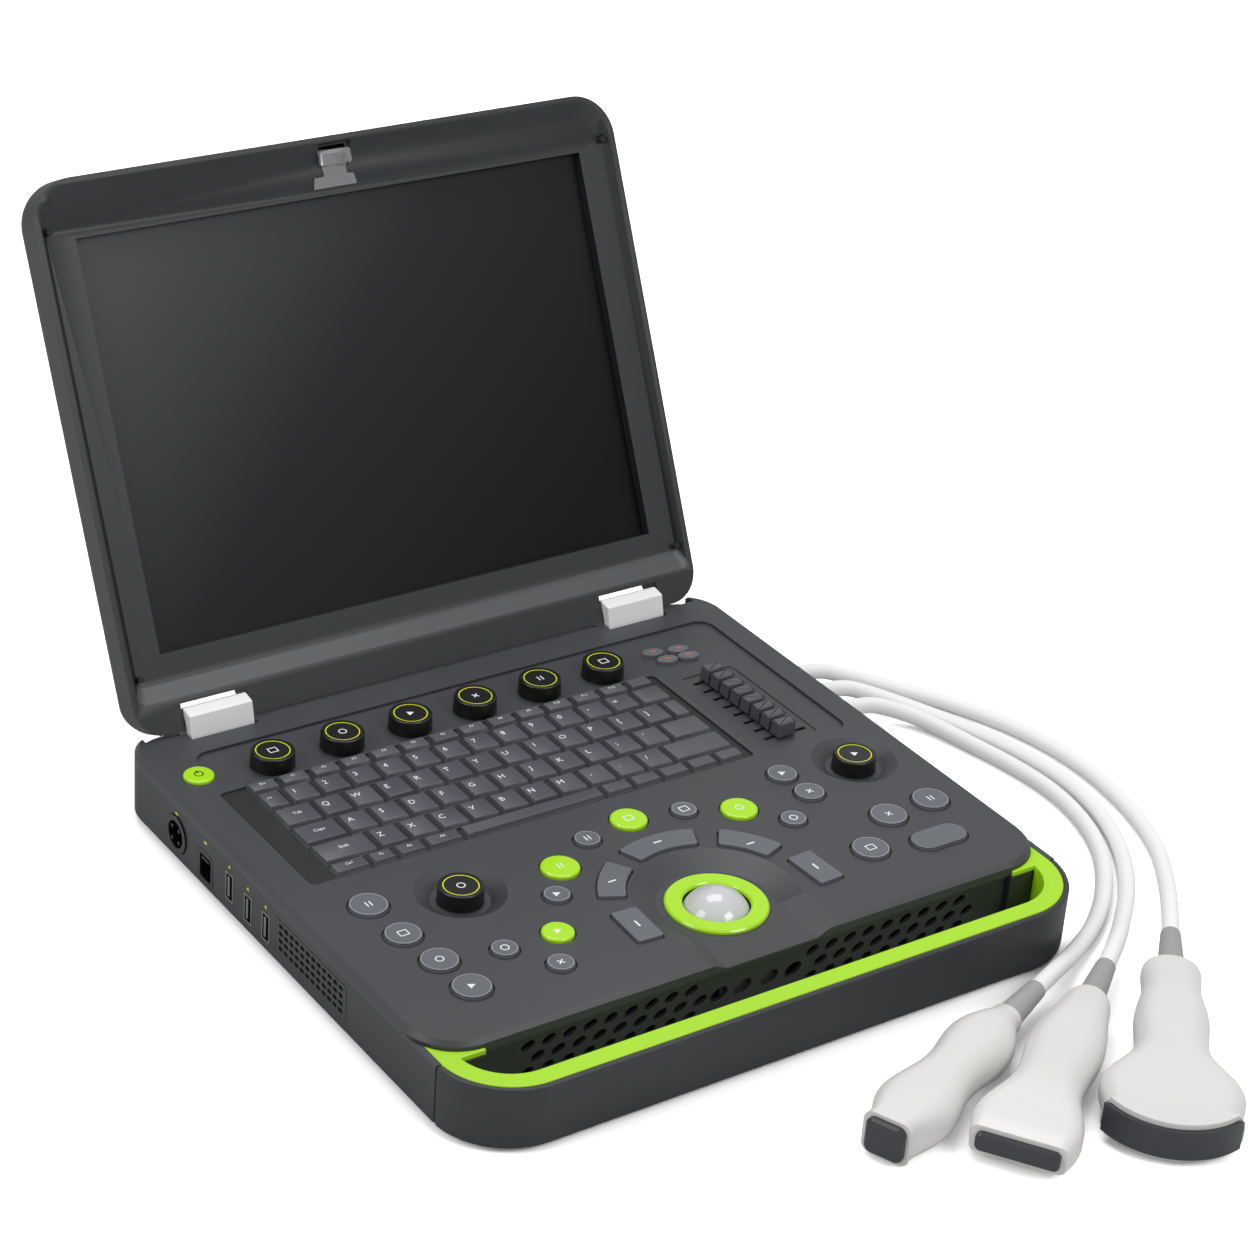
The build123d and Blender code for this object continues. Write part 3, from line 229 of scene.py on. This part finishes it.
def screen_material():
    """Dark display behind a satin film, with a painted reflection: its colour grows paler towards its upper left.
    """
    material = finish("display_painted_reflection", tone(20, 20, 22), 0.36, relief=0.02, spread=0.03)
    nodes, links = material.node_tree.nodes, material.node_tree.links
    shader = nodes["Principled BSDF"]
    shader.inputs["Specular IOR Level"].default_value = 0.12
    place = nodes.new("ShaderNodeTexCoord")
    # Painted reflection: the base colour runs from dark at the lower right to pale grey at the upper left, set by
    # place on the screen.
    slant = nodes.new("ShaderNodeVectorMath")
    slant.operation = "DOT_PRODUCT"
    slant.inputs[1].default_value = (-1.7, 0, 1.8)
    ramp = nodes.new("ShaderNodeValToRGB")
    ramp.color_ramp.elements[0].position, ramp.color_ramp.elements[1].position = 0.0, 0.95
    ramp.color_ramp.elements[0].color = tone(17, 17, 18)
    ramp.color_ramp.elements[1].color = tone(88, 89, 92)
    middle = ramp.color_ramp.elements.new(0.4)
    middle.color = tone(36, 36, 38)
    links.new(place.outputs["Object"], slant.inputs[0])
    links.new(slant.outputs["Value"], ramp.inputs["Fac"])
    links.new(ramp.outputs["Color"], shader.inputs["Base Color"])
    return material


SCREEN = screen_material()

FINISHES = {
    "lower_housing": CHARCOAL, "control_panel": PANEL, "carry_handle": CHARCOAL, "handle_liner": LIME_SATIN,
    "front_vent_panel": CHARCOAL, "side_vent_grille": CHARCOAL, "keyboard": KEY, "panel_buttons": BUTTON,
    "lime_buttons": LIME_GLOSS, "oval_keys": BUTTON, "trackball_ring": LIME_GLOSS, "trackball": BALL,
    "dc_power_socket": BLACK, "network_socket": BLACK, "usb_sockets": METAL, "probe_sockets": BLACK,
    "rubber_feet": RUBBER, "housing_screws": STEEL, "main_board": BOARD, "battery_pack": BLACK,
    "cooling_fan": BLACK, "hinge_covers": WHITE, "hinge_pins": STEEL, "lid_back_cover": LID_SHELL,
    "lid_bezel": LID_SHELL, "display_panel": SCREEN, "lid_latch": CLEAR, "lid_bumpers": RUBBER,
    "power_button": LIME_GLOSS,
}
for node in frame["nodes"]:
    if node.startswith("knob"):
        FINISHES[node] = BLACK
    elif node.startswith("gain_slider"):
        FINISHES[node] = KEY
    elif node.endswith("_shell"):
        FINISHES[node] = PROBE_WHITE
    elif node.endswith("_lens"):
        FINISHES[node] = LENS
    elif node.endswith(("_relief", "_plug")):
        FINISHES[node] = RELIEF_GREY
    elif node.endswith("_cable"):
        FINISHES[node] = CABLE_GREY

BODY_OF = {node: body for body, nodes in frame["record"]["behaviour"]["bodies"].items() for node in nodes}
SLOT_OF = {entry["node"]: entry["material_slot"] for entry in frame["record"]["subparts"]}
for node, part in frame["nodes"].items():
    part.data.materials.clear()
    part.data.materials.append(FINISHES[node])


# Dressed copies: the CAD form with its edges rounded
def add_object(name, mesh, body, slot, *materials):
    for material in materials:
        mesh.materials.append(material)
    piece = bpy.data.objects.new(name, mesh)
    bpy.context.scene.collection.objects.link(piece)
    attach(piece, body)
    return piece


def smooth(mesh, angle=32):
    for polygon in mesh.polygons:
        polygon.use_smooth = True
    mesh.set_sharp_from_angle(angle=math.radians(angle))


def dress(node, width, segments=2, angle=35):
    """Copy of a node with clean faces and rounded edges, which stands for the node."""
    form = bmesh.new()
    form.from_mesh(frame["nodes"][node].data)
    bmesh.ops.remove_doubles(form, verts=form.verts, dist=2e-6)
    bmesh.ops.dissolve_limit(form, angle_limit=math.radians(0.5), verts=form.verts, edges=form.edges)
    mesh = bpy.data.meshes.new(node + "_finish")
    form.to_mesh(mesh)
    form.free()
    smooth(mesh)
    piece = add_object(node + "_finish", mesh, BODY_OF[node], SLOT_OF[node], FINISHES[node])
    if width:
        bevel = piece.modifiers.new("rounding", "BEVEL")
        bevel.width = width * MM
        bevel.segments = segments
        bevel.limit_method = "ANGLE"
        bevel.angle_limit = math.radians(angle)
        bevel.use_clamp_overlap = False
        bevel.harden_normals = True
    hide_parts(node)
    return piece


EDGE_WIDTHS = {
    "lid_bezel": 0.0, "carry_handle": 1.1, "handle_liner": 0.7, "keyboard": 0.4, "panel_buttons": 0.45,
    "hinge_covers": 0.7, "front_vent_panel": 0.25, "lower_housing": 0.5,
}
SLIDER_EDGE_WIDTH = 0.5
DRESSED = {node: dress(node, width) for node, width in EDGE_WIDTHS.items()}
for node in sorted(frame["nodes"]):
    if node.startswith("gain_slider"):
        dress(node, SLIDER_EDGE_WIDTH)


# Marks and small fittings, placed in the console's own millimetres
BUTTON_TOP, KEY_TOP, INK = 41.7, 41.6, 0.06
LETTER_SIZE = 5.2
KEY_PITCH, KEY_GAP, KEYS_LEFT = 17.8, 2.6, -146
KEY_ROWS = [
    (99.7, [1] * 13 + [0.9], ["Esc"] + [f"F{number}" for number in range(1, 13)], 2.6),
    (85.4, [0.8] + [1] * 12 + [1.1], list("~1234567890-="), LETTER_SIZE),
    (67.5, [1.25] + [1] * 12 + [0.65], ["Tab"] + list("QWERTYUIOP[]"), LETTER_SIZE),
    (48.7, [1.45] + [1] * 11 + [1.45], ["Caps"] + list("ASDFGHJKL;'"), LETTER_SIZE),
    (29.9, [1.8] + [1] * 10 + [2.1], ["Shift"] + list("ZXCVBNM,./"), LETTER_SIZE),
    (15.3, [1.2, 0.85, 0.95, 1.2], ["Ctrl", "Fn", "Alt", "Alt"], 2.6),
]
ROUND_BUTTONS = [
    (-148, -19.5, 10), (-146, -48.5, 9.5), (-142, -75, 9.7), (-140, -100.5, 10),
    (128, -72.5, 10), (157, -70.5, 10), (100, -93.5, 10),
    (-110, -81.5, 7.1), (-63, -54.5, 7.1), (-93, -104, 7.1), (-22, -19.5, 7.1), (37, -19.5, 7.1),
    (82, -52.5, 7.1), (103, -14.5, 8.3), (105, -35.5, 8.3),
]
LIME_BUTTONS = [(-48, -34.5, 10), (7, -13.5, 9.7), (63, -31.5, 9.7), (-80, -81.5, 8.2)]
ARC_MARKS = [(-33, -58), (7, -39), (48, -62), (64.3, -94.5), (-43, -94.5)]
OVAL_KEYS, OVAL_TOP = [(117, 124.5), (132, 121.5), (120, 114.5), (133, 113)], 41.0
POWER_X, POWER_Y = -164, 123.5
SIDE_WALL_X, USB_INSERT_X = -183, -181.2
USB_PORTS = [(55, 18.8), (36, 17), (18, 17)]
ROUND_PORTS_Y, PORT_SIGN_Z = (110.7, 80), 30.4
KNOBS = [(x, 119, 47.1) for x in (-124, -83, -42, -2, 39, 80)] + [(-102, -29, 43.7), (147, -19, 43.7)]


def prism(form, points, push):
    """Closed flat prism: a ring of points and the same ring pushed along a vector."""
    low = [form.verts.new(at(*point)) for point in points]
    high = [form.verts.new(at(*(a + b for a, b in zip(point, push)))) for point in points]
    form.faces.new(low[::-1])
    form.faces.new(high)
    for here in range(len(points)):
        there = (here + 1) % len(points)
        form.faces.new((low[here], low[there], high[there], high[here]))


def rectangle(width, length):
    """Corners of a rectangle about its middle, in turn."""
    return [(-width / 2, -length / 2), (width / 2, -length / 2), (width / 2, length / 2), (-width / 2, length / 2)]


def bar(form, x, y, z, width, length, turn=0.0, rise=INK):
    """Upright bar, turned about its middle."""
    cosine, sine = math.cos(math.radians(turn)), math.sin(math.radians(turn))
    corners = rectangle(width, length)
    prism(form, [(x + a * cosine - b * sine, y + a * sine + b * cosine, z) for a, b in corners], (0, 0, rise))


def ring(form, x, y, z, inner, outer, rise=INK, steps=48):
    """Closed flat ring about an upright axis."""
    rows = []
    for step in range(steps):
        turn = 2 * math.pi * step / steps
        rows.append([form.verts.new(at(x + radius * math.cos(turn), y + radius * math.sin(turn), height))
                     for radius, height in ((inner, z), (outer, z), (outer, z + rise), (inner, z + rise))])
    for here in range(steps):
        there = (here + 1) % steps
        for side in range(4):
            other = (side + 1) % 4
            form.faces.new((rows[here][side], rows[there][side], rows[there][other], rows[here][other]))


def icon(form, kind, x, y, z):
    """One of a few plain signs: two bars, a frame, a ring, an arrow head, a cross."""
    if kind == 0:
        bar(form, x - 1.1, y, z, 0.7, 4)
        bar(form, x + 1.1, y, z, 0.7, 4)
    elif kind == 1:
        for turn, offset in ((0, (0, 2)), (0, (0, -2)), (90, (2.3, 0)), (90, (-2.3, 0))):
            bar(form, x + offset[0], y + offset[1], z, 5 if turn == 0 else 3.4, 0.6, turn)
    elif kind == 2:
        ring(form, x, y, z, 1.7, 2.3, steps=24)
    elif kind == 3:
        prism(form, [(x - 1.6, y - 2, z), (x + 2, y, z), (x - 1.6, y + 2, z)], (0, 0, INK))
    else:
        bar(form, x, y, z, 4.2, 0.7, 45)
        bar(form, x, y, z + 0.01, 4.2, 0.7, -45)


def set_down(name, form, body, slot, material):
    bmesh.ops.recalc_face_normals(form, faces=form.faces)
    mesh = bpy.data.meshes.new(name)
    form.to_mesh(mesh)
    form.free()
    return add_object(name, mesh, body, slot, material)


def letters(name, entries, z):
    """Plain letters on the key caps, as one closed mesh."""
    form = bmesh.new()
    for text, x, y, size in entries:
        line = bpy.data.curves.new("letter", "FONT")
        line.body, line.size, line.align_x, line.align_y = text, size * MM, "CENTER", "CENTER"
        line.extrude, line.resolution_u = INK * MM / 2, 2
        holder = bpy.data.objects.new("letter", line)
        shape = bpy.data.meshes.new_from_object(holder)
        shape.transform(Matrix.Translation(at(x, y, z + INK / 2)))
        form.from_mesh(shape)
        bpy.data.objects.remove(holder)
        bpy.data.curves.remove(line)
        bpy.data.meshes.remove(shape)
    bmesh.ops.remove_doubles(form, verts=form.verts, dist=1e-6)
    return set_down(name, form, "root", SLOT_OF["keyboard"], MARK)


def key_letters():
    entries = []
    for row_y, widths, texts, size in KEY_ROWS:
        edge = KEYS_LEFT - KEY_PITCH / 6
        for width, text in zip(widths, texts):
            wide = width * KEY_PITCH - KEY_GAP
            reach = 2.6 if len(text) == 1 else min(5.4, wide / 2)
            if row_y < 90 and len(text) == 1:
                entries.append((text, edge + width * KEY_PITCH / 2 - wide / 2 + reach + 1.6, row_y + 1.6, size))
            else:
                entries.append((text, edge + width * KEY_PITCH / 2, row_y + 0.8, min(size, 3.2)))
            edge += width * KEY_PITCH
    return entries


letters("key_letters", key_letters(), KEY_TOP)

rims, signs, rings = bmesh.new(), bmesh.new(), bmesh.new()
for x, y, radius in ROUND_BUTTONS:
    ring(rims, x, y, BUTTON_TOP, radius - 1.2, radius - 0.7)
for number, (x, y, radius) in enumerate(ROUND_BUTTONS + LIME_BUTTONS):
    icon(signs, number % 5, x, y, BUTTON_TOP)
for number, (x, y) in enumerate(ARC_MARKS):
    bar(signs, x, y, BUTTON_TOP, 4.6 if number < 3 else 1, 1 if number < 3 else 5)
set_down("button_rims", rims, "root", SLOT_OF["panel_buttons"], RIM)
set_down("button_signs", signs, "root", SLOT_OF["panel_buttons"], MARK)
for number, (x, y, z) in enumerate(KNOBS, 1):
    form = bmesh.new()
    ring(form, x, y, z, 8.5, 9.1)
    set_down(f"knob_{number}_ring", form, f"knob_{number}", SLOT_OF[f"knob_{number}"], YELLOW)
    form = bmesh.new()
    icon(form, number % 5, x, y, z)
    set_down(f"knob_{number}_sign", form, f"knob_{number}", SLOT_OF[f"knob_{number}"], MARK)
reds = bmesh.new()
for x, y in OVAL_KEYS:
    bar(reds, x, y, OVAL_TOP, 3.6, 0.9, -14)
set_down("oval_key_signs", reds, "root", SLOT_OF["oval_keys"], RED)
power = bmesh.new()
ring(power, POWER_X, POWER_Y, BUTTON_TOP, 1.9, 2.5, steps=24)
bar(power, POWER_X, POWER_Y + 1.9, BUTTON_TOP + 0.01, 0.7, 2.6)
set_down("power_sign", power, "power_key", SLOT_OF["power_button"], BLACK)
inserts, ports = bmesh.new(), bmesh.new()
for y, z in USB_PORTS:
    prism(inserts, [(USB_INSERT_X, y + a, z + b) for a, b in rectangle(2.4, 11)], (6, 0, 0))
    prism(ports, [(SIDE_WALL_X, y + a, z + 11 + b) for a, b in ((-1.2, 0), (1.2, 0), (0, 2))], (-INK, 0, 0))
for y in ROUND_PORTS_Y:
    prism(ports, [(SIDE_WALL_X, y + a, PORT_SIGN_Z + b) for a, b in rectangle(2.8, 1.2)], (-INK, 0, 0))
set_down("usb_inserts", inserts, "root", SLOT_OF["usb_sockets"], BLUE)
set_down("port_signs", ports, "root", SLOT_OF["lower_housing"], YELLOW)


def paint(piece, test, material):
    """Second material on the faces whose middle and normal pass a test."""
    piece.data.materials.append(material)
    last = len(piece.data.materials) - 1
    for polygon in piece.data.polygons:
        if test(polygon.center, polygon.normal):
            polygon.material_index = last


TRAY_TOP = at(0, 0, 39.2).z
LID_ORIGIN, LID_TILT = at(0, 186.34, 76.93), math.radians(25.9)
LID_UP = Vector((0, math.sin(LID_TILT), math.cos(LID_TILT)))
LID_OUT = Vector((0, -math.cos(LID_TILT), math.sin(LID_TILT)))
CHIN = -14.5 * MM
def below_keys(middle, normal):
    return middle.z < TRAY_TOP


def on_chin_highlight(middle, normal):
    return (middle - LID_ORIGIN).dot(LID_UP) < CHIN and normal.dot(LID_OUT) > 0.3


paint(DRESSED["keyboard"], below_keys, TRAY)
# Painted highlight: the chin faces that face out and up get the paler grey.
paint(DRESSED["lid_bezel"], on_chin_highlight, CHIN_PAINTED_HIGHLIGHT)


# Floor, world and lamps
def make_floor():
    mesh = bpy.data.meshes.new("floor")
    reach = 40
    mesh.from_pydata([(-reach, -reach, 0), (reach, -reach, 0), (reach, reach, 0), (-reach, reach, 0)], [],
                     [(0, 1, 2, 3)])
    floor = bpy.data.objects.new("floor", mesh)
    material = bpy.data.materials.new("floor_paper")
    material.use_nodes = True
    nodes, links = material.node_tree.nodes, material.node_tree.links
    shader = nodes["Principled BSDF"]
    path = nodes.new("ShaderNodeLightPath")
    paper = nodes.new("ShaderNodeMix")
    paper.data_type = "RGBA"
    paper.inputs["A"].default_value = (0.6, 0.6, 0.6, 1)
    paper.inputs["B"].default_value = (1.75, 1.75, 1.75, 1)
    links.new(path.outputs["Is Camera Ray"], paper.inputs["Factor"])
    links.new(paper.outputs["Result"], shader.inputs["Base Color"])
    shader.inputs["Roughness"].default_value = 0.8
    mesh.materials.append(material)
    bpy.context.scene.collection.objects.link(floor)


make_floor()

WORLD_LIGHT = 0.55


def make_world():
    world = bpy.data.worlds.new("studio")
    bpy.context.scene.world = world
    world.use_nodes = True
    nodes, links = world.node_tree.nodes, world.node_tree.links
    nodes.clear()
    path = nodes.new("ShaderNodeLightPath")
    seen = nodes.new("ShaderNodeMath")
    seen.operation = "MAXIMUM"
    light = nodes.new("ShaderNodeBackground")
    light.inputs["Strength"].default_value = WORLD_LIGHT
    paper = nodes.new("ShaderNodeBackground")
    paper.inputs["Strength"].default_value = 1.0
    mix = nodes.new("ShaderNodeMixShader")
    out = nodes.new("ShaderNodeOutputWorld")
    links.new(path.outputs["Is Camera Ray"], seen.inputs[0])
    links.new(path.outputs["Is Transmission Ray"], seen.inputs[1])
    links.new(seen.outputs[0], mix.inputs["Fac"])
    links.new(light.outputs[0], mix.inputs[1])
    links.new(paper.outputs[0], mix.inputs[2])
    links.new(mix.outputs[0], out.inputs["Surface"])
    for background in (light, paper):
        background.inputs["Color"].default_value = (1, 1, 1, 1)


make_world()


def softbox(name, place, target, size, power):
    lamp = bpy.data.lights.new(name, "AREA")
    lamp.shape = "RECTANGLE"
    lamp.size, lamp.size_y = size
    lamp.energy = power
    box = bpy.data.objects.new(name, lamp)
    box.location = place
    box.rotation_mode = "QUATERNION"
    box.rotation_quaternion = (Vector(target) - Vector(place)).to_track_quat("-Z", "Y")
    bpy.context.scene.collection.objects.link(box)


softbox("front_softbox", (0.7, -1.9, 1.9), (0, 0.1, 0.1), (1.2, 0.9), 22)
softbox("left_softbox", (-2.1, 0.3, 1.5), (0, 0, 0.05), (1.0, 1.4), 18)
softbox("top_softbox", (0.4, 0.9, 2.4), (0, 0, 0.05), (1.6, 1.2), 26)
